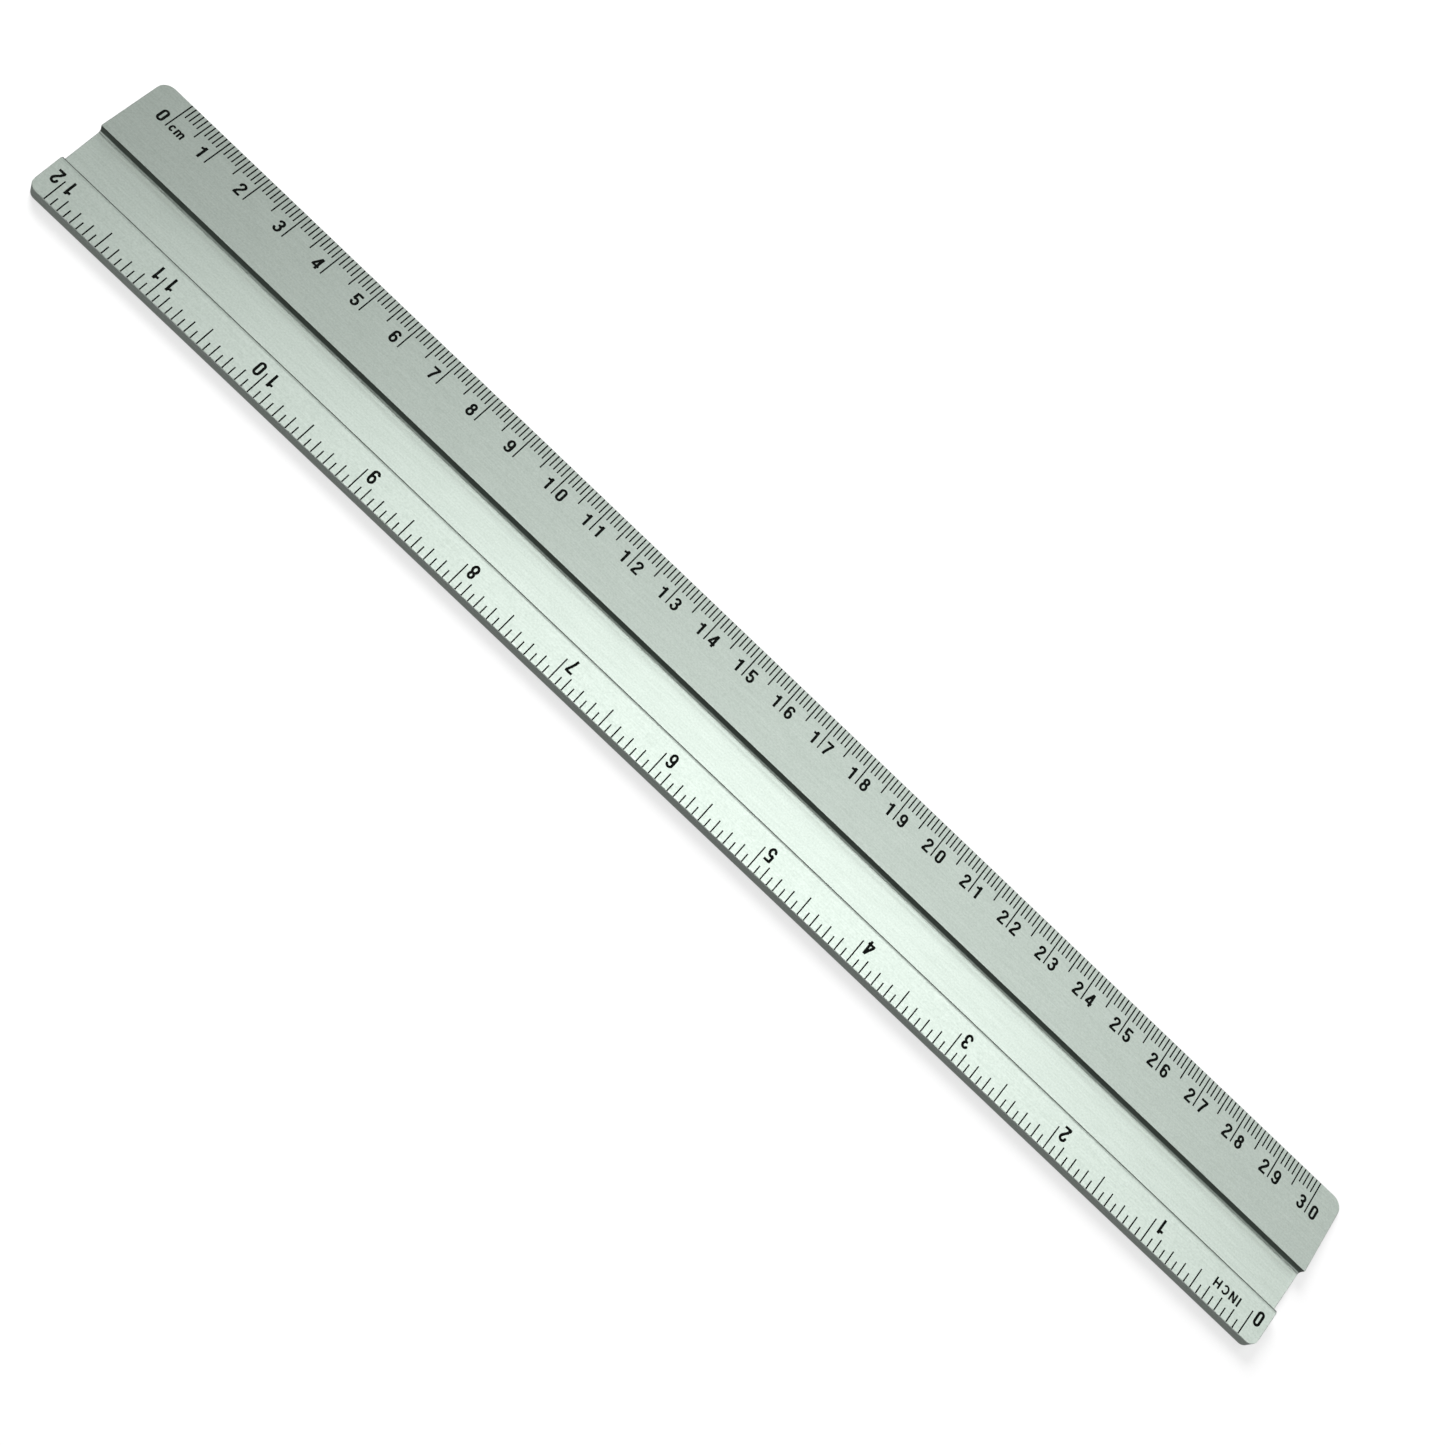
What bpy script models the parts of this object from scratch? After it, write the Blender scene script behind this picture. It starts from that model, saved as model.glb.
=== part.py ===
"""A 30 cm aluminium scale ruler with a recessed finger channel, in metres, +Z up.

The body is one extrusion: a raised panel along the inch edge, a sunken channel, and a panel that
slopes down to the centimetre edge. Two rubber strips sit in dovetail grooves in its underside.

X runs along the ruler, from the 0 cm end to the 30 cm end. Y runs across it, from the inch edge to
the centimetre edge. The origin is the middle of the footprint, on the surface the ruler lies on.
"""

import math

import bmesh
import bpy

MM = 0.001

LENGTH = 313.0 * MM
WIDTH = 36.8 * MM
INCH_CORNER_RADIUS = 2.0 * MM  # of the corners seen from above
CM_CORNER_RADIUS = 2.5 * MM
CORNER_STEPS = 12
END_CHAMFER = 0.13 * MM  # deburred edge round each sawn end

STAND_OFF = 0.2 * MM  # how far the rubber strips lift the metal
INCH_PANEL_WIDTH = 9.3 * MM
CHANNEL_WIDTH = 9.7 * MM
INCH_BLOCK_HEIGHT = 3.1 * MM
CHANNEL_FLOOR_THICKNESS = 0.95 * MM
RIDGE_HEIGHT = 3.3 * MM  # the high side of the centimetre panel, over the channel
CM_EDGE_THICKNESS = 0.4 * MM

EDGE_RADIUS = 0.16 * MM
INCH_INNER_RADIUS = 1.0 * MM  # the raised panel rolls over into the channel
CHANNEL_FILLET = 0.6 * MM
BASE_RADIUS = 0.3 * MM
ARC_STEP = math.radians(10)

GROOVE_DEPTH = 1.1 * MM
GROOVE_UNDERCUT = 0.2 * MM  # how much wider each side of a groove is at its top than at its mouth
STRIP_GAP = 0.2 * MM  # the glue line round a strip
STRIP_SETBACK = 1.5 * MM  # from each end of the ruler
STRIP_EDGE_RADIUS = 0.1 * MM
INCH_GROOVE = (5.4 * MM, 3.0 * MM)  # centre, measured from the inch edge, and width of the mouth
RIDGE_GROOVE = (24.0 * MM, 5.0 * MM)

ALUMINIUM_COLOUR = (0.60, 0.65, 0.61, 1.0)
RUBBER_COLOUR = (0.035, 0.036, 0.038, 1.0)


def clear_scene():
    for obj in list(bpy.data.objects):
        bpy.data.objects.remove(obj, do_unlink=True)


def make_material(name, colour, roughness, metallic):
    material = bpy.data.materials.new(name)
    material.use_nodes = True
    shader = material.node_tree.nodes["Principled BSDF"]
    shader.inputs["Base Color"].default_value = colour
    shader.inputs["Roughness"].default_value = roughness
    shader.inputs["Metallic"].default_value = metallic
    return material


def unit(dy, dz):
    size = math.hypot(dy, dz)
    return dy / size, dz / size


def rounded_corner(before, corner, after):
    """The points of the arc that rounds one (y, z, radius) corner of a section."""
    y, z, radius = corner
    into = unit(y - before[0], z - before[1])
    out = unit(after[0] - y, after[1] - z)
    turn = math.atan2(into[0] * out[1] - into[1] * out[0], into[0] * out[0] + into[1] * out[1])
    if radius <= 0:
        return [(y, z)]
    setback = radius * math.tan(abs(turn) / 2)
    side = math.copysign(1.0, turn)
    centre_y = y - into[0] * setback - into[1] * radius * side
    centre_z = z - into[1] * setback + into[0] * radius * side
    start = math.atan2(-into[0] * side, into[1] * side)
    steps = max(2, math.ceil(abs(turn) / ARC_STEP))
    return [
        (
            centre_y + radius * math.cos(start + turn * i / steps),
            centre_z + radius * math.sin(start + turn * i / steps),
        )
        for i in range(steps + 1)
    ]


def rounded_section(corners):
    """A closed section, with each (y, z, radius) corner rounded."""
    points = []
    for i, corner in enumerate(corners):
        points += rounded_corner(corners[i - 1], corner, corners[(i + 1) % len(corners)])
    return points


def inset_corners(corners, distance):
    """The corners of the same section, drawn in by a distance all round."""
    inset = []
    for i, (y, z, radius) in enumerate(corners):
        after = corners[(i + 1) % len(corners)]
        into = unit(y - corners[i - 1][0], z - corners[i - 1][1])
        out = unit(after[0] - y, after[1] - z)
        bend = into[0] * out[1] - into[1] * out[0]
        along = (into[0] * out[0] + into[1] * out[1] - 1) / bend * distance
        new_y = y - into[1] * distance + into[0] * along
        new_z = z + into[0] * distance + into[1] * along
        new_radius = radius - math.copysign(distance, bend) if radius > 0 else 0.0
        inset.append((new_y, new_z, new_radius))
    return inset


def groove_corners(centre, mouth):
    """The corners of one dovetail groove, taken in the direction of +Y along the underside."""
    low, high = STAND_OFF, STAND_OFF + GROOVE_DEPTH
    half_mouth = mouth / 2
    half_top = half_mouth + GROOVE_UNDERCUT
    return [
        (centre - half_mouth, low, 0.0),
        (centre - half_top, high, 0.0),
        (centre + half_top, high, 0.0),
        (centre + half_mouth, low, 0.0),
    ]


def body_corners(inch_trim, cm_trim):
    """The corners of the body's section, with its two long edges cut back. y is from the inch edge."""
    wall = INCH_PANEL_WIDTH + CHANNEL_WIDTH
    ridge = STAND_OFF + RIDGE_HEIGHT
    slope = (RIDGE_HEIGHT - CM_EDGE_THICKNESS) / (WIDTH - wall)
    floor = STAND_OFF + CHANNEL_FLOOR_THICKNESS
    panel = STAND_OFF + INCH_BLOCK_HEIGHT
    return [
        (inch_trim, STAND_OFF, BASE_RADIUS),
        *groove_corners(*INCH_GROOVE),
        *groove_corners(*RIDGE_GROOVE),
        (WIDTH - cm_trim, STAND_OFF, EDGE_RADIUS),
        (WIDTH - cm_trim, STAND_OFF + CM_EDGE_THICKNESS + slope * cm_trim, EDGE_RADIUS),
        (wall, ridge, EDGE_RADIUS),
        (wall, floor, CHANNEL_FILLET),
        (INCH_PANEL_WIDTH, floor, CHANNEL_FILLET),
        (INCH_PANEL_WIDTH, panel, INCH_INNER_RADIUS),
        (inch_trim, panel, EDGE_RADIUS),
    ]


def corner_trim(radius, from_end):
    """How far a corner of this radius cuts back its long edge, at a distance from the ruler's end."""
    into = max(radius - from_end, 0.0)
    return radius - math.sqrt(radius * radius - into * into)


def body_stations():
    """(x, section) pairs from the 0 cm end to the 30 cm end, round the corners seen from above."""
    half = LENGTH / 2
    last_angle = math.asin(1 - END_CHAMFER / CM_CORNER_RADIUS)
    half_stations = []
    for i in range(CORNER_STEPS + 1):
        from_end = CM_CORNER_RADIUS * (1 - math.sin(last_angle * i / CORNER_STEPS))
        trims = (corner_trim(radius, from_end) for radius in (INCH_CORNER_RADIUS, CM_CORNER_RADIUS))
        half_stations.append((half - from_end, rounded_section(body_corners(*trims))))
    end_corners = body_corners(INCH_CORNER_RADIUS, CM_CORNER_RADIUS)
    half_stations.append((half, rounded_section(inset_corners(end_corners, END_CHAMFER))))
    return [(-x, section) for x, section in reversed(half_stations)] + half_stations


def loft(name, stations, material):
    """One closed object through sections of equal length at rising x. y is from the inch edge."""
    bm = bmesh.new()
    rings = [[bm.verts.new((x, y - WIDTH / 2, z)) for y, z in section] for x, section in stations]
    count = len(rings[0])
    for near, far in zip(rings, rings[1:]):
        for i in range(count):
            j = (i + 1) % count
            bm.faces.new((near[i], near[j], far[j], far[i]))
    bm.faces.new(reversed(rings[0]))
    bm.faces.new(rings[-1])
    bmesh.ops.recalc_face_normals(bm, faces=bm.faces[:])
    mesh = bpy.data.meshes.new(name)
    bm.to_mesh(mesh)
    bm.free()
    mesh.materials.append(material)
    mesh.shade_smooth()
    mesh.set_sharp_from_angle(angle=math.radians(30))
    obj = bpy.data.objects.new(name, mesh)
    bpy.context.scene.collection.objects.link(obj)
    return obj


def make_body():
    aluminium = make_material("satin_aluminium", ALUMINIUM_COLOUR, 0.35, 1.0)
    return loft("ruler_body", body_stations(), aluminium)


def strip_corners(centre, mouth):
    """The corners of one rubber strip, which fills its groove and stands proud of the underside."""
    groove_top = STAND_OFF + GROOVE_DEPTH
    top = groove_top - STRIP_GAP
    half_mouth = mouth / 2 - STRIP_GAP
    half_top = half_mouth + GROOVE_UNDERCUT * (top - STAND_OFF) / GROOVE_DEPTH
    return [
        (centre - half_mouth, 0.0, STRIP_EDGE_RADIUS),
        (centre + half_mouth, 0.0, STRIP_EDGE_RADIUS),
        (centre + half_mouth, STAND_OFF, 0.0),
        (centre + half_top, top, 0.0),
        (centre - half_top, top, 0.0),
        (centre - half_mouth, STAND_OFF, 0.0),
    ]


def make_strip(name, groove, material):
    section = rounded_section(strip_corners(*groove))
    end = LENGTH / 2 - STRIP_SETBACK
    return loft(name, [(-end, section), (end, section)], material)


def make_strips():
    rubber = make_material("grip_rubber", RUBBER_COLOUR, 0.75, 0.0)
    make_strip("grip_strip_inch_side", INCH_GROOVE, rubber)
    make_strip("grip_strip_cm_side", RIDGE_GROOVE, rubber)


def main():
    clear_scene()
    make_body()
    make_strips()


main()
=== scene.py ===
"""The finished look of a 30 cm aluminium scale ruler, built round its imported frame.

The frame gives the anodised body and the two rubber strips under it. This script finishes their
materials and prints both scales on the body as thin films of ink: the centimetre scale along the
far edge, read from the near side, and the inch scale along the near edge, read from the far side.

X runs along the ruler from the 0 cm end, Y across it from the inch edge, and Z up, in metres.
"""

import math

import bmesh
import bpy
import numpy as np
from mathutils import Matrix, Vector
from mathutils.bvhtree import BVHTree
from mathutils.geometry import tessellate_polygon


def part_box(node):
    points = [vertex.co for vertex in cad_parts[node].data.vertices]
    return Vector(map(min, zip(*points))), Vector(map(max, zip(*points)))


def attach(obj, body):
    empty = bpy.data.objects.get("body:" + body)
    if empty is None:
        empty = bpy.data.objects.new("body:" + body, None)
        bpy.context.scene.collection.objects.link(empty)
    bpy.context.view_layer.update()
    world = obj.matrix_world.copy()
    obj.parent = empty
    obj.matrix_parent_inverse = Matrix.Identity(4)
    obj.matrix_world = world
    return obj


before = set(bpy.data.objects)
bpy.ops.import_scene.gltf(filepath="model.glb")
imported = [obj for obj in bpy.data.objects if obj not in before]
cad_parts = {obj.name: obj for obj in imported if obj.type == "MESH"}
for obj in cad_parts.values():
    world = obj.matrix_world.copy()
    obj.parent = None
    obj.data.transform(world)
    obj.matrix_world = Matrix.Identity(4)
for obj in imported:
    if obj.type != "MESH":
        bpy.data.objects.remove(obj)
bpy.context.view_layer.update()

MM = 0.001
INCH = 25.4 * MM

# The printed scales. A distance "in" is measured from the edge, across the panel.
CM_ZERO_FROM_END = 6.94 * MM
CM_LAST = 30
CM_PARTS = 10
INCH_LAST = 12
INCH_PARTS = 16
TICK_WIDTH = 0.28 * MM
TICK_START = 0.1 * MM
# Every so many ticks, how far in the tick ends: the first match counts.
CM_TICK_ENDS = ((10, 7.97 * MM), (5, 5.27 * MM), (1, 3.42 * MM))
INCH_TICK_ENDS = ((16, 5.65 * MM), (8, 4.57 * MM), (2, 3.17 * MM), (1, 2.1 * MM))
INK_PROUD = 0.012 * MM
INK_SUNK = 0.02 * MM

# The numerals, drawn as strokes of one width.
NUMERAL_STROKE = 0.54 * MM
CM_NUMERAL_IN = 8.08 * MM
INCH_NUMERAL_IN = 6.78 * MM
LONE_NUMERAL_OFFSET = -1.82 * MM
PAIR_OFFSET = 1.62 * MM

# The unit words: each letter with its place along the scale, from the zero.
CM_WORD = (("c", 0.64 * MM), ("m", 2.05 * MM))
CM_WORD_IN = 8.08 * MM
CM_WORD_STROKE = 0.42 * MM
INCH_WORD = (("I", 3.0 * MM), ("N", 3.9 * MM), ("C", 5.86 * MM), ("H", 7.9 * MM))
INCH_WORD_IN = 5.8 * MM
INCH_WORD_STROKE = 0.4 * MM

# How finely the characters' outlines are worked out.
ARC_STEP = 10
OUTLINE_STEP = 0.04 * MM
OUTLINE_TOLERANCE = 0.004 * MM

# Where a panel's plane is felt for, as a share of the way from the middle to its edge.
PROBE_SHARE = 0.95


# ---------------------------------------------------------------- strokes and outlines


def arc(centre_x, centre_y, radius_x, radius_y, start, end):
    """Points along part of an ellipse, from one angle in degrees to another."""
    steps = max(4, math.ceil(abs(end - start) / ARC_STEP))
    angles = [math.radians(start + (end - start) * i / steps) for i in range(steps + 1)]
    return [(centre_x + radius_x * math.cos(a), centre_y + radius_y * math.sin(a)) for a in angles]


def numeral_strokes():
    """The centre lines of each numeral in millimetres: x from its middle, y from its foot."""
    top = 3.13
    six = [
        arc(0.02, 2.34, 0.56, 0.58, 12, 180) + [(-0.55, 0.95)],
        arc(0.0, 0.99, 0.55, 0.78, 0, 360),
    ]
    nine = [[(-x, top - y) for x, y in stroke] for stroke in six]
    return {
        "0": [arc(0, 2.38, 0.53, 0.54, 0, 180) + arc(0, 0.75, 0.53, 0.54, 180, 360) + [(0.53, 2.38)]],
        "1": [[(0.09, 0.0), (0.09, top)], [(-0.78, 2.45)] + arc(-0.42, 3.07, 0.46, 0.62, -90, -8)],
        "2": [
            arc(0, 2.35, 0.56, 0.57, 196, -20)
            + [(0.3, 1.72), (-0.33, 0.92)]
            + arc(0.1, 0.2, 0.68, 0.65, 135, 180),
            [(-0.78, 0.19), (0.8, 0.19)],
        ],
        "3": [
            arc(0, 2.32, 0.53, 0.6, 165, -90) + [(-0.16, 1.72)],
            [(-0.16, 1.72)] + arc(0, 0.96, 0.57, 0.76, 90, -172),
        ],
        "4": [[(0.3, 3.05), (-0.64, 0.8)], [(-0.84, 0.78), (0.8, 0.78)], [(0.36, 0.0), (0.36, top)]],
        "5": [
            [(0.74, 2.93), (-0.52, 2.93)],
            [(-0.5, top), (-0.56, 1.5)],
            arc(0, 0.98, 0.57, 0.78, 140, -170),
        ],
        "6": six,
        "7": [
            [(-0.78, 2.94), (0.82, 2.94)],
            [(0.68, 3.0), (0.5, 2.5), (0.24, 1.8), (-0.02, 0.95), (-0.16, 0.0)],
        ],
        "8": [arc(0, 2.31, 0.47, 0.61, 0, 360), arc(0, 0.96, 0.555, 0.75, 0, 360)],
        "9": nine,
    }


def word_strokes():
    """The centre lines of the letters, in millimetres: x from their left side, y from their foot."""
    half = CM_WORD_STROKE / MM / 2
    left = INCH_WORD_STROKE / MM / 2
    n_right = 1.48 - left
    h_right = 1.5 - left
    return {
        "c": [arc(0.57, 0.85, 0.57 - half, 0.85 - half, 42, 318)],
        "m": [
            [(half, 0.0), (half, 1.7)],
            [(half, 1.1)] + arc(0.55, 1.15, 0.55 - half, 0.55 - half, 180, 0) + [(0.935, 0.0)],
            [(0.935, 1.1)] + arc(1.32, 1.15, 0.55 - half, 0.55 - half, 180, 0) + [(1.87 - half, 0.0)],
        ],
        "I": [[(left, 0.0), (left, 2.0)]],
        "N": [
            [(left, 0.0), (left, 2.0)],
            [(left, 1.95), (n_right, 0.05)],
            [(n_right, 0.0), (n_right, 2.0)],
        ],
        "C": [arc(0.8, 1.0, 0.8 - left, 1.0 - left, 40, 320)],
        "H": [
            [(left, 0.0), (left, 2.0)],
            [(left, 1.06), (h_right, 1.06)],
            [(h_right, 0.0), (h_right, 2.0)],
        ],
    }


def distance_to_stroke(x, y, stroke, half_width):
    """How far each point lies outside a flat-ended stroke, negative inside it."""
    nearest = np.full(x.shape, np.inf)
    for (x0, y0), (x1, y1) in zip(stroke, stroke[1:]):
        length = math.hypot(x1 - x0, y1 - y0)
        if length == 0:
            continue
        along = ((x - x0) * (x1 - x0) + (y - y0) * (y1 - y0)) / length
        across = ((x - x0) * (y1 - y0) - (y - y0) * (x1 - x0)) / length
        beyond = np.abs(along - length / 2) - length / 2
        nearest = np.minimum(nearest, np.maximum(np.abs(across) - half_width, beyond))
    for x0, y0 in stroke[1:-1]:
        nearest = np.minimum(nearest, np.hypot(x - x0, y - y0) - half_width)
    if stroke[0] == stroke[-1]:
        nearest = np.minimum(nearest, np.hypot(x - stroke[0][0], y - stroke[0][1]) - half_width)
    return nearest


def crossing(field, near, far):
    """Where the field passes zero between two neighbouring samples."""
    a, b = field[near], field[far]
    share = a / (a - b)
    return tuple(n + (f - n) * share for n, f in zip(near, far))


def zero_loops(field):
    """The closed lines round the negative part of a sampled field, in sample units."""
    follow = {}
    points = {}
    inside = field < 0
    count = inside[:-1, :-1].astype(int) + inside[1:, :-1] + inside[1:, 1:] + inside[:-1, 1:]
    for i, j in np.argwhere((count > 0) & (count < 4)).tolist():
        corners = [(i, j), (i + 1, j), (i + 1, j + 1), (i, j + 1)]
        sides = [(corners[k], corners[(k + 1) % 4]) for k in range(4)]
        enters = [k for k, (a, b) in enumerate(sides) if inside[b] and not inside[a]]
        leaves = [k for k, (a, b) in enumerate(sides) if inside[a] and not inside[b]]
        for k in leaves:
            partner = next((k - back) % 4 for back in (1, 2, 3) if (k - back) % 4 in enters)
            start, end = (tuple(sorted(sides[n])) for n in (k, partner))
            follow[start] = end
            points[start] = crossing(field, *start)
    loops = []
    while follow:
        key, after = follow.popitem()
        loop = [points[key]]
        while after in follow:
            loop.append(points[after])
            after = follow.pop(after)
        loops.append(loop)
    return loops


def simplified(line, tolerance):
    """The same open line without the points that a straight run doesn't need."""
    if len(line) < 3:
        return line
    (x0, y0), (x1, y1) = line[0], line[-1]
    length = max(math.hypot(x1 - x0, y1 - y0), 1e-9)
    off = [abs((x - x0) * (y1 - y0) - (y - y0) * (x1 - x0)) / length for x, y in line[1:-1]]
    worst = max(off)
    if worst <= tolerance:
        return [line[0], line[-1]]
    split = off.index(worst) + 1
    return simplified(line[: split + 1], tolerance)[:-1] + simplified(line[split:], tolerance)


def simplified_loop(loop, tolerance):
    half = len(loop) // 2
    first = simplified(loop[: half + 1], tolerance)
    second = simplified(loop[half:] + loop[:1], tolerance)
    return first[:-1] + second[:-1]


def glyph_outlines(strokes, stroke_width):
    """The outlines of one character in metres, outer lines and holes alike."""
    strokes = [[(x * MM, y * MM) for x, y in stroke] for stroke in strokes]
    xs = [x for stroke in strokes for x, _ in stroke]
    ys = [y for stroke in strokes for _, y in stroke]
    left, foot = min(xs) - stroke_width, min(ys) - stroke_width
    columns = np.arange(left, max(xs) + stroke_width, OUTLINE_STEP)
    rows = np.arange(foot, max(ys) + stroke_width, OUTLINE_STEP)
    x, y = np.meshgrid(columns, rows, indexing="ij")
    field = np.full(x.shape, np.inf)
    for stroke in strokes:
        field = np.minimum(field, distance_to_stroke(x, y, stroke, stroke_width / 2))
    outlines = []
    for loop in zero_loops(field):
        placed = [(left + i * OUTLINE_STEP, foot + j * OUTLINE_STEP) for i, j in loop]
        outlines.append(simplified_loop(placed, OUTLINE_TOLERANCE))
    return outlines


# ---------------------------------------------------------------- printing on the panels


class Panel:
    """One flat panel of the body: places are (along, in from the edge, height above the metal)."""

    def __init__(self, body_tree, edge_y, zero_x, reading):
        above = Vector((0, 0, 1))
        near_hit = body_tree.ray_cast(Vector((zero_x, edge_y * PROBE_SHARE, 1)), -above)
        self.normal = near_hit[1].normalized()
        self.right = Vector((reading, 0, 0))
        self.up = self.normal.cross(self.right)
        to_edge = (edge_y - near_hit[0].y) / self.up.y
        self.edge = near_hit[0] + self.up * to_edge
        self.edge.x = zero_x

    def place(self, along, edge_distance, height):
        return self.edge + self.right * along - self.up * edge_distance + self.normal * height


def add_prism(bm, panel, loops):
    """A closed film of ink with these outlines: (along, in) points, outer lines and holes."""
    rings = []
    for height in (-INK_SUNK, INK_PROUD):
        rings.append([[bm.verts.new(panel.place(a, d, height)) for a, d in loop] for loop in loops])
    below, above = rings
    for low, high in zip(below, above):
        for i in range(len(low)):
            j = (i + 1) % len(low)
            bm.faces.new((low[i], low[j], high[j], high[i]))
    flat = [[Vector((a, d, 0)) for a, d in loop] for loop in loops]
    low_all = [v for ring in below for v in ring]
    high_all = [v for ring in above for v in ring]
    for triangle in tessellate_polygon(flat):
        bm.faces.new([high_all[n] for n in triangle])
        bm.faces.new([low_all[n] for n in reversed(triangle)])


def print_piece(name, material, add, *details):
    """One piece of printing, filled in by one of the add functions."""
    bm = bmesh.new()
    add(bm, *details)
    bmesh.ops.recalc_face_normals(bm, faces=bm.faces[:])
    mesh = bpy.data.meshes.new(name)
    bm.to_mesh(mesh)
    bm.free()
    mesh.materials.append(material)
    piece = bpy.data.objects.new(name, mesh)
    bpy.context.scene.collection.objects.link(piece)
    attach(piece, "root")


def add_ticks(bm, panel, divisions, spacing, ends):
    half = TICK_WIDTH / 2
    for n in range(divisions + 1):
        end = next(end for every, end in ends if n % every == 0)
        x = n * spacing
        corners = [(x - half, TICK_START), (x + half, TICK_START), (x + half, end), (x - half, end)]
        add_prism(bm, panel, [corners])


def add_character(bm, panel, outlines, along, foot_in):
    add_prism(bm, panel, [[(along + x, foot_in - y) for x, y in loop] for loop in outlines])


def add_numerals(bm, panel, outlines, last, spacing, foot_in):
    for n in range(last + 1):
        digits = str(n)
        offsets = (LONE_NUMERAL_OFFSET,) if len(digits) == 1 else (-PAIR_OFFSET, PAIR_OFFSET)
        for digit, offset in zip(digits, offsets):
            add_character(bm, panel, outlines[digit], n * spacing + offset, foot_in)


def add_word(bm, panel, outlines, word, foot_in):
    for letter, along in word:
        add_character(bm, panel, outlines[letter], along, foot_in)


def print_scales(ink):
    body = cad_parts["ruler_body"]
    low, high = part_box("ruler_body")
    tree = BVHTree.FromPolygons(
        [v.co for v in body.data.vertices], [p.vertices[:] for p in body.data.polygons]
    )
    cm_panel = Panel(tree, high.y, low.x + CM_ZERO_FROM_END, 1)
    inch_panel = Panel(tree, low.y, INCH_LAST * INCH / 2, -1)

    numerals = {c: glyph_outlines(s, NUMERAL_STROKE) for c, s in numeral_strokes().items()}
    letters = {
        c: glyph_outlines(s, CM_WORD_STROKE if c in "cm" else INCH_WORD_STROKE)
        for c, s in word_strokes().items()
    }

    centimetre = CM_PARTS * MM
    cm_ticks = (cm_panel, CM_LAST * CM_PARTS, MM, CM_TICK_ENDS)
    print_piece("cm_ticks", ink, add_ticks, *cm_ticks)
    cm_numerals = (cm_panel, numerals, CM_LAST, centimetre, CM_NUMERAL_IN)
    print_piece("cm_numerals", ink, add_numerals, *cm_numerals)
    print_piece("cm_unit_word", ink, add_word, cm_panel, letters, CM_WORD, CM_WORD_IN)

    inch_ticks = (inch_panel, INCH_LAST * INCH_PARTS, INCH / INCH_PARTS, INCH_TICK_ENDS)
    print_piece("inch_ticks", ink, add_ticks, *inch_ticks)
    inch_numerals = (inch_panel, numerals, INCH_LAST, INCH, INCH_NUMERAL_IN)
    print_piece("inch_numerals", ink, add_numerals, *inch_numerals)
    print_piece("inch_unit_word", ink, add_word, inch_panel, letters, INCH_WORD, INCH_WORD_IN)


# ---------------------------------------------------------------- materials

# Sizes of grain are (x, y, z) features per metre. Most noise lies within the span.
NOISE_SPAN = (0.3, 0.7)

# The metal's grain and streaks, and the scuffs along the outline.
STREAK_SIZE = (150.0, 3000.0, 3000.0)
GRAIN_SIZE = (2600.0, 2600.0, 2600.0)
FINE_SIZE = (6000.0, 8000.0, 8000.0)
SCUFF_SIZE = (700.0, 2200.0, 2200.0)
SCUFF_SPAN = (0.5, 0.62)
DARK_GRAIN = (0.50, 0.58, 0.52, 1)
LIGHT_GRAIN = (0.72, 0.80, 0.74, 1)
DARK_STREAK = (0.54, 0.62, 0.56, 1)
LIGHT_STREAK = (0.67, 0.75, 0.69, 1)
BARE_METAL = (0.78, 0.80, 0.79, 1)
STREAK_SHARE = (0.4, 0.6)
METAL_ROUGHNESS = (0.38, 0.46)
METAL_BUMP = (0.3, 0.01 * MM)
WEAR_REACH = 0.6 * MM
WEAR_STRENGTH = 0.5
WEAR_POLISH = 0.08

# Painted shade down the channel's two sides, a darkening of the metal's colour where shade falls:
# where it starts, is full, is still full and is gone. It is a guess, made to give the two dark
# lines beside the channel their depth. It is painted shade, not dirt on the metal, made to give
# the two dark lines beside the channel their depth.
RIDGE_WALL_Y = 0.6 * MM
INCH_STEP_Y = -9.1 * MM
RIDGE_PAINTED_SHADE = (-0.25 * MM, -0.05 * MM, 0.02 * MM, 0.05 * MM)
INCH_PAINTED_SHADE = (-0.62 * MM, -0.42 * MM, 0.02 * MM, 0.05 * MM)
PAINTED_SHADE_Z = (1.3 * MM, 1.6 * MM)
PAINTED_SHADE_COLOUR = (0.05, 0.056, 0.05, 1)
PAINTED_SHADE_STRENGTH = 0.85

# The cove along the foot of the ridge's wall. It leaves out the metal's underside.
COVE_Y = (-0.8 * MM, 0.05 * MM)
COVE_RISE = 0.11 * MM
COVE_CURVE = 2.0
TOP_FACES_Z = (0.5 * MM, 0.9 * MM)
CM_PANEL_Y = (4.0 * MM, 7.0 * MM)

RUBBER_GRAIN = (2500.0, 2500.0, 2500.0)
DARK_RUBBER = (0.020, 0.021, 0.022, 1)
LIGHT_RUBBER = (0.045, 0.046, 0.048, 1)
RUBBER_ROUGHNESS = (0.62, 0.85)
RUBBER_BUMP = (0.4, 0.02 * MM)

INK_GRAIN = (5000.0, 5000.0, 5000.0)
DARK_INK = (0.001, 0.0012, 0.001, 1)
LIGHT_INK = (0.004, 0.005, 0.004, 1)
INK_ROUGHNESS = (0.5, 0.7)
INK_SPECULAR = 0.05


def new_material(name):
    material = bpy.data.materials.new(name)
    material.use_nodes = True
    tree = material.node_tree
    return material, tree, tree.nodes["Principled BSDF"]


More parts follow.
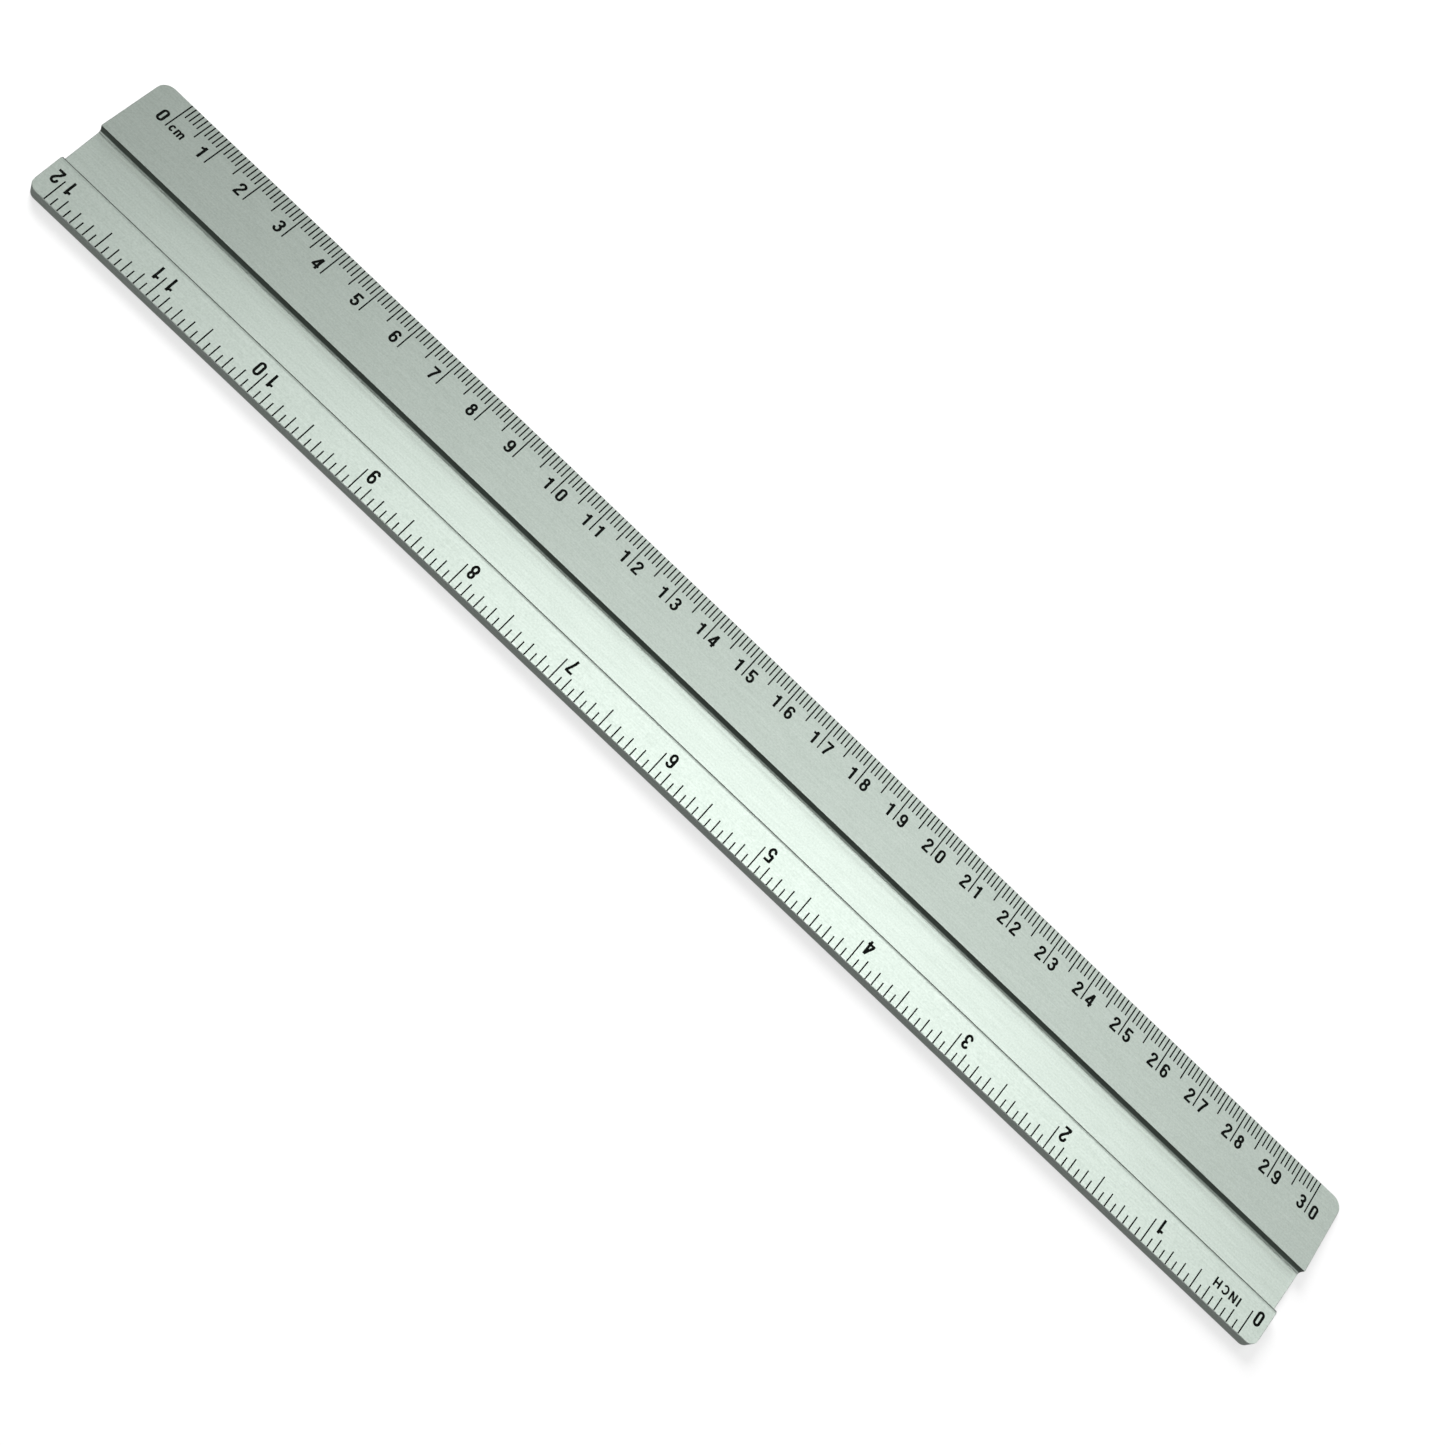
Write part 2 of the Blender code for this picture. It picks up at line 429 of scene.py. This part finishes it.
def noise(tree, stretch, detail=2.0, roughness=0.5):
    """Noise in the ruler's own coordinates. stretch is (x, y, z) features per metre."""
    coordinates = tree.nodes.new("ShaderNodeTexCoord")
    mapping = tree.nodes.new("ShaderNodeMapping")
    mapping.inputs["Scale"].default_value = stretch
    texture = tree.nodes.new("ShaderNodeTexNoise")
    texture.inputs["Scale"].default_value = 1.0
    texture.inputs["Detail"].default_value = detail
    texture.inputs["Roughness"].default_value = roughness
    tree.links.new(coordinates.outputs["Object"], mapping.inputs["Vector"])
    tree.links.new(mapping.outputs["Vector"], texture.inputs["Vector"])
    return texture.outputs["Fac"]


def blend(tree, factor, low, high):
    """A colour that runs from low to high as the factor does."""
    mix = tree.nodes.new("ShaderNodeMix")
    mix.data_type = "RGBA"
    mix.inputs["A"].default_value = low
    mix.inputs["B"].default_value = high
    tree.links.new(factor, mix.inputs["Factor"])
    return mix.outputs["Result"]


def ranged(tree, value, from_low, from_high, to_low=0.0, to_high=1.0):
    """A value carried from one range to another, and held at its ends."""
    scale = tree.nodes.new("ShaderNodeMapRange")
    scale.inputs["From Min"].default_value = from_low
    scale.inputs["From Max"].default_value = from_high
    scale.inputs["To Min"].default_value = to_low
    scale.inputs["To Max"].default_value = to_high
    tree.links.new(value, scale.inputs["Value"])
    return scale.outputs["Result"]


def bump(tree, height, strength, distance, under=None):
    node = tree.nodes.new("ShaderNodeBump")
    node.inputs["Strength"].default_value = strength
    node.inputs["Distance"].default_value = distance
    tree.links.new(height, node.inputs["Height"])
    if under is not None:
        tree.links.new(under, node.inputs["Normal"])
    return node.outputs["Normal"]


def mixed(tree, factor, under, over):
    """One colour laid over another as far as the factor goes. over may be a plain colour."""
    mix = tree.nodes.new("ShaderNodeMix")
    mix.data_type = "RGBA"
    tree.links.new(under, mix.inputs["A"])
    if isinstance(over, tuple):
        mix.inputs["B"].default_value = over
    else:
        tree.links.new(over, mix.inputs["B"])
    tree.links.new(factor, mix.inputs["Factor"])
    return mix.outputs["Result"]


def math_node(tree, operation, one, other=None):
    node = tree.nodes.new("ShaderNodeMath")
    node.operation = operation
    for socket, value in zip(node.inputs, (one, other)):
        if isinstance(value, float):
            socket.default_value = value
        elif value is not None:
            tree.links.new(value, socket)
    return node.outputs["Value"]


def axes_of(tree, kind):
    """The x, y and z of one kind of texture coordinate."""
    coordinates = tree.nodes.new("ShaderNodeTexCoord")
    axes = tree.nodes.new("ShaderNodeSeparateXYZ")
    tree.links.new(coordinates.outputs[kind], axes.inputs["Vector"])
    return [axes.outputs[name] for name in "XYZ"]


def edge_wear(tree):
    """1 in the scuffs along the ruler's outline, 0 elsewhere."""
    _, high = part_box("ruler_body")
    x, y, _ = axes_of(tree, "Object")
    near_end = ranged(tree, math_node(tree, "ABSOLUTE", x), high.x - WEAR_REACH, high.x)
    near_side = ranged(tree, math_node(tree, "ABSOLUTE", y), high.y - WEAR_REACH, high.y)
    near = math_node(tree, "MAXIMUM", near_end, near_side)
    scuffs = noise(tree, SCUFF_SIZE, detail=4.0, roughness=0.65)
    return math_node(tree, "MULTIPLY", near, ranged(tree, scuffs, *SCUFF_SPAN))


def band(tree, value, start, reached, left, end):
    """1 from reached to left, falling to 0 at start and at end."""
    rising = ranged(tree, value, start, reached)
    falling = ranged(tree, value, end, left)
    return math_node(tree, "MULTIPLY", rising, falling)


def channel_grime(tree):
    """Where shade is painted: 1 on the ridge's wall and down the inch panel's rounded inner edge, 0
    elsewhere.
    """
    _, y, z = axes_of(tree, "Object")
    ridge_y = [RIDGE_WALL_Y + reach for reach in RIDGE_PAINTED_SHADE]
    inch_y = [INCH_STEP_Y + reach for reach in INCH_PAINTED_SHADE]
    walls = math_node(tree, "MAXIMUM", band(tree, y, *ridge_y), band(tree, y, *inch_y))
    return math_node(tree, "MULTIPLY", walls, ranged(tree, z, *PAINTED_SHADE_Z))


def channel_cove(tree):
    """The height of the floor's last slight rise before it meets the wall, 0 to 1."""
    _, y, z = axes_of(tree, "Object")
    rise = math_node(tree, "POWER", ranged(tree, y, *COVE_Y), COVE_CURVE)
    kept = math_node(tree, "MAXIMUM", ranged(tree, z, *TOP_FACES_Z), ranged(tree, y, *CM_PANEL_Y))
    return math_node(tree, "MULTIPLY", rise, kept)


def aluminium_material():
    """Satin anodised metal: a fine etched grain over faint streaks along the extrusion."""
    material, tree, shader = new_material("satin_aluminium_finish")
    streaks = noise(tree, STREAK_SIZE, detail=3.0, roughness=0.6)
    grain = noise(tree, GRAIN_SIZE, detail=4.0, roughness=0.6)
    fine = noise(tree, FINE_SIZE)
    shader.inputs["Metallic"].default_value = 1.0
    mottle = blend(tree, ranged(tree, grain, *NOISE_SPAN), DARK_GRAIN, LIGHT_GRAIN)
    streaked = blend(tree, ranged(tree, streaks, *NOISE_SPAN), DARK_STREAK, LIGHT_STREAK)
    colour = mixed(tree, ranged(tree, grain, 0.0, 1.0, *STREAK_SHARE), mottle, streaked)
    # Painted shade: the colour is darkened beside the channel's two walls, where shade falls.
    film = math_node(tree, "MULTIPLY", channel_grime(tree), PAINTED_SHADE_STRENGTH)
    colour = mixed(tree, film, colour, PAINTED_SHADE_COLOUR)
    wear = edge_wear(tree)
    colour = mixed(tree, math_node(tree, "MULTIPLY", wear, WEAR_STRENGTH), colour, BARE_METAL)
    tree.links.new(colour, shader.inputs["Base Color"])
    roughness = ranged(tree, fine, *NOISE_SPAN, *METAL_ROUGHNESS)
    polish = math_node(tree, "MULTIPLY", wear, WEAR_POLISH)
    tree.links.new(math_node(tree, "SUBTRACT", roughness, polish), shader.inputs["Roughness"])
    cove = bump(tree, channel_cove(tree), 1.0, COVE_RISE)
    tree.links.new(bump(tree, grain, *METAL_BUMP, cove), shader.inputs["Normal"])
    return material


def rubber_material():
    material, tree, shader = new_material("grip_rubber_finish")
    grain = noise(tree, RUBBER_GRAIN, detail=3.0)
    tree.links.new(blend(tree, grain, DARK_RUBBER, LIGHT_RUBBER), shader.inputs["Base Color"])
    roughness = ranged(tree, grain, *NOISE_SPAN, *RUBBER_ROUGHNESS)
    tree.links.new(roughness, shader.inputs["Roughness"])
    tree.links.new(bump(tree, grain, *RUBBER_BUMP), shader.inputs["Normal"])
    return material


def ink_material():
    material, tree, shader = new_material("scale_ink_finish")
    grain = noise(tree, INK_GRAIN)
    tree.links.new(blend(tree, grain, DARK_INK, LIGHT_INK), shader.inputs["Base Color"])
    roughness = ranged(tree, grain, *NOISE_SPAN, *INK_ROUGHNESS)
    tree.links.new(roughness, shader.inputs["Roughness"])
    shader.inputs["Specular IOR Level"].default_value = INK_SPECULAR
    return material


def finish_frame():
    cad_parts["ruler_body"].data.materials[0] = aluminium_material()
    rubber = rubber_material()
    for name in ("grip_strip_inch_side", "grip_strip_cm_side"):
        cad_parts[name].data.materials[0] = rubber


# ---------------------------------------------------------------- studio


def direction(azimuth, elevation):
    """A unit vector. Azimuth 0 is +Y and 90 is +X; elevation is above the horizon, in degrees."""
    a, e = math.radians(azimuth), math.radians(elevation)
    return Vector((math.sin(a) * math.cos(e), math.cos(a) * math.cos(e), math.sin(e)))


# The floor glows a little, so that it stays pale all round.
FLOOR_RADIUS = 6.0
FLOOR_SEGMENTS = 96
FLOOR_GRAIN = (300.0, 300.0, 300.0)
DARK_FLOOR = (0.29, 0.29, 0.29, 1)
LIGHT_FLOOR = (0.31, 0.31, 0.31, 1)
FLOOR_ROUGHNESS = 0.9
FLOOR_GLOW = 0.66

# The lamp that gives the ruler its soft shadow. The metal doesn't mirror it.
LAMP_AZIMUTH = -45
LAMP_ELEVATION = 38
LAMP_DISTANCE = 1.5
LAMP_SIZE = 0.9
LAMP_ENERGY = 30.0

# The light tent. A pair is where a part of the tent begins and where it is complete, as a
# component of the direction; a level or peak is how bright it is.
TENT_LEFT = (-0.27, 0.05)
TENT_RIGHT = (0.42, 0.10)
TENT_ENDS = 0.05
TENT_PEAK = 3.25
TENT_FAR = (0.51, 0.83)
TENT_FAR_LEVEL = 0.0
TENT_FRONT = (-0.22, -0.36)
TENT_FRONT_LEVEL = 0.01
TENT_SIDE = (0.65, 0.9)
TENT_SIDE_LEVEL = 0.4
TENT_LOW = (0.52, 0.28)
TENT_LOW_LEVEL = 1.25
TENT_GROUND = (0.0, -0.08)
TENT_GROUND_LEVEL = 0.18


def make_floor():
    bm = bmesh.new()
    bmesh.ops.create_circle(bm, cap_ends=True, segments=FLOOR_SEGMENTS, radius=FLOOR_RADIUS)
    mesh = bpy.data.meshes.new("floor")
    bm.to_mesh(mesh)
    bm.free()
    material, tree, shader = new_material("pale_floor")
    grain = noise(tree, FLOOR_GRAIN, detail=3.0)
    tree.links.new(blend(tree, grain, DARK_FLOOR, LIGHT_FLOOR), shader.inputs["Base Color"])
    shader.inputs["Roughness"].default_value = FLOOR_ROUGHNESS
    shader.inputs["Specular IOR Level"].default_value = 0.0
    shader.inputs["Emission Color"].default_value = (1, 1, 1, 1)
    shader.inputs["Emission Strength"].default_value = FLOOR_GLOW
    mesh.materials.append(material)
    floor = bpy.data.objects.new("floor", mesh)
    bpy.context.scene.collection.objects.link(floor)
    floor.visible_glossy = False


def layered(tree, factor, under, level):
    """A brightness, replaced by a level as far as the factor goes."""
    mix = tree.nodes.new("ShaderNodeMix")
    mix.inputs["B"].default_value = level
    tree.links.new(under, mix.inputs["A"])
    tree.links.new(factor, mix.inputs["Factor"])
    return mix.outputs["Result"]


def make_world():
    """A light tent for the metal to mirror: brightest overhead, dark between that and the low
    bright band all round."""
    world = bpy.data.worlds.new("light_tent")
    bpy.context.scene.world = world
    world.use_nodes = True
    tree = world.node_tree
    x, y, z = axes_of(tree, "Generated")
    overhead = math_node(
        tree, "MULTIPLY", ranged(tree, x, *TENT_LEFT), ranged(tree, x, *TENT_RIGHT)
    )
    level = ranged(tree, overhead, 0.0, 1.0, TENT_ENDS, TENT_PEAK)
    level = layered(tree, ranged(tree, y, *TENT_FAR), level, TENT_FAR_LEVEL)
    level = layered(tree, ranged(tree, y, *TENT_FRONT), level, TENT_FRONT_LEVEL)
    side = ranged(tree, math_node(tree, "ABSOLUTE", x), *TENT_SIDE)
    level = layered(tree, side, level, TENT_SIDE_LEVEL)
    level = layered(tree, ranged(tree, z, *TENT_LOW), level, TENT_LOW_LEVEL)
    level = layered(tree, ranged(tree, z, *TENT_GROUND), level, TENT_GROUND_LEVEL)
    tree.links.new(level, tree.nodes["Background"].inputs["Color"])


def make_lamp():
    light = bpy.data.lights.new("floor_light", "AREA")
    light.shape = "DISK"
    light.size = LAMP_SIZE
    light.energy = LAMP_ENERGY
    lamp = bpy.data.objects.new("floor_light", light)
    towards = direction(LAMP_AZIMUTH, LAMP_ELEVATION)
    lamp.location = towards * LAMP_DISTANCE
    lamp.rotation_mode = "QUATERNION"
    lamp.rotation_quaternion = towards.to_track_quat("Z", "Y")
    lamp.visible_glossy = False
    bpy.context.scene.collection.objects.link(lamp)


CAMERA_TARGET = (3.82 * MM, -0.18 * MM, 3.3 * MM)
CAMERA_AZIMUTH = 4.955
CAMERA_ELEVATION = 63.59
CAMERA_ROLL = 48.05
CAMERA_DISTANCE = 482.8 * MM
CAMERA_LENS = 63.92
CAMERA_SENSOR = 36.0
CAMERA_CLIP = (0.01, 50.0)


def make_camera():
    data = bpy.data.cameras.new("camera")
    data.lens = CAMERA_LENS
    data.sensor_width = CAMERA_SENSOR
    data.clip_start, data.clip_end = CAMERA_CLIP
    camera = bpy.data.objects.new("camera", data)
    bpy.context.scene.collection.objects.link(camera)
    looks = direction(CAMERA_AZIMUTH, -CAMERA_ELEVATION)
    level = looks.to_track_quat("-Z", "Y").to_matrix().to_4x4()
    roll = Matrix.Rotation(math.radians(CAMERA_ROLL), 4, "Z")
    camera.matrix_world = (
        Matrix.Translation(Vector(CAMERA_TARGET) - looks * CAMERA_DISTANCE) @ level @ roll
    )
    bpy.context.scene.camera = camera


finish_frame()
print_scales(ink_material())
make_floor()
make_world()
make_lamp()
make_camera()
bpy.context.scene.view_settings.view_transform = "Standard"
